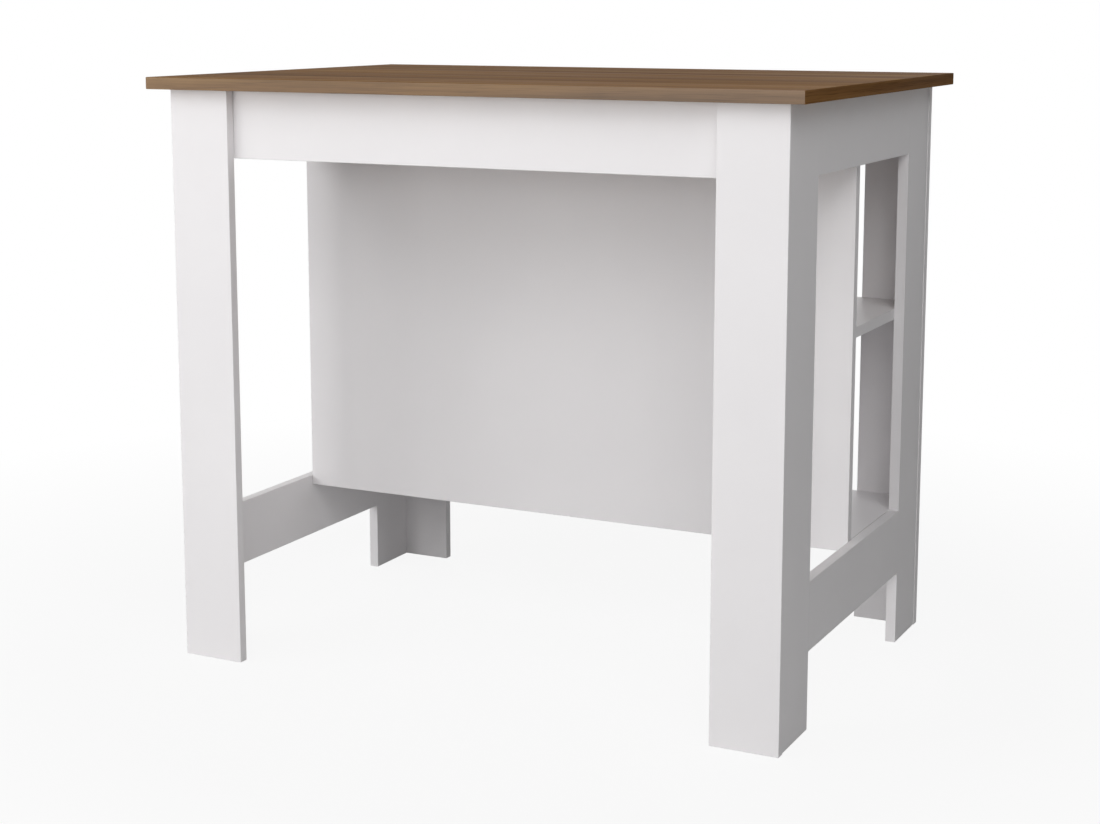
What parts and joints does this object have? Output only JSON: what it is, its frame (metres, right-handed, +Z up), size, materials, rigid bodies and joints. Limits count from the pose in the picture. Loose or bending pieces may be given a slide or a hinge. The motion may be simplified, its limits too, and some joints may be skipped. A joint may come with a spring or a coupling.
{
  "type": "kitchen island",
  "caption": "Free-standing kitchen island: walnut-look laminate worktop on a white board frame, knee room in front of a centre panel, open shelves behind it.",
  "frame": {"origin": "on the floor, below the middle of the worktop", "axes": "+Z up, +X along the worktop's length to the right as seen from the front, +Y to the back, where the shelves open"},
  "size_m": [1.036, 0.712, 0.9],
  "materials": {
    "white_laminate": "white melamine-faced board, satin",
    "walnut_laminate": "walnut-look laminated board, satin, grain along its length",
    "beech": "bare turned beech",
    "zinc": "zinc-plated fittings"
  },
  "bodies": {
    "root": {"worktop": "walnut_laminate", "leg_stile_front_left": "white_laminate", "leg_stile_front_right": "white_laminate", "leg_stile_back_left": "white_laminate", "leg_stile_back_right": "white_laminate", "leg_side_front_left": "white_laminate", "leg_side_front_right": "white_laminate", "leg_side_back_left": "white_laminate", "leg_side_back_right": "white_laminate", "end_rail_left": "white_laminate", "end_rail_right": "white_laminate", "end_stretcher_left": "white_laminate", "end_stretcher_right": "white_laminate", "front_apron": "white_laminate", "back_apron": "white_laminate", "centre_panel": "white_laminate", "bottom_shelf": "white_laminate", "mid_shelf": "white_laminate", "stile_dowel_front_left_lower": "beech", "stile_dowel_front_left_upper": "beech", "stile_dowel_front_right_lower": "beech", "stile_dowel_front_right_upper": "beech", "stile_dowel_back_left_lower": "beech", "stile_dowel_back_left_upper": "beech", "stile_dowel_back_right_lower": "beech", "stile_dowel_back_right_upper": "beech", "bottom_shelf_dowel_left": "beech", "bottom_shelf_dowel_right": "beech", "bottom_shelf_dowel_front_left": "beech", "bottom_shelf_dowel_front_centre": "beech", "bottom_shelf_dowel_front_right": "beech", "mid_shelf_dowel_left": "beech", "mid_shelf_dowel_right": "beech", "mid_shelf_dowel_front_left": "beech", "mid_shelf_dowel_front_centre": "beech", "mid_shelf_dowel_front_right": "beech", "cam_bolt_front_apron_left": "zinc", "cam_bolt_front_apron_right": "zinc", "cam_bolt_front_apron_top_left": "zinc", "cam_bolt_front_apron_top_right": "zinc", "cam_bolt_back_apron_left": "zinc", "cam_bolt_back_apron_right": "zinc", "cam_bolt_back_apron_top_left": "zinc", "cam_bolt_back_apron_top_right": "zinc", "cam_bolt_centre_panel_left": "zinc", "cam_bolt_centre_panel_right": "zinc", "cam_bolt_bottom_shelf_left": "zinc", "cam_bolt_bottom_shelf_right": "zinc", "cam_lock_front_apron_left": "zinc", "cam_lock_front_apron_right": "zinc", "cam_lock_front_apron_top_left": "zinc", "cam_lock_front_apron_top_right": "zinc", "cam_lock_back_apron_left": "zinc", "cam_lock_back_apron_right": "zinc", "cam_lock_back_apron_top_left": "zinc", "cam_lock_back_apron_top_right": "zinc", "cam_lock_centre_panel_left": "zinc", "cam_lock_centre_panel_right": "zinc", "cam_lock_bottom_shelf_left": "zinc", "cam_lock_bottom_shelf_right": "zinc"}
  },
  "joints": []
}
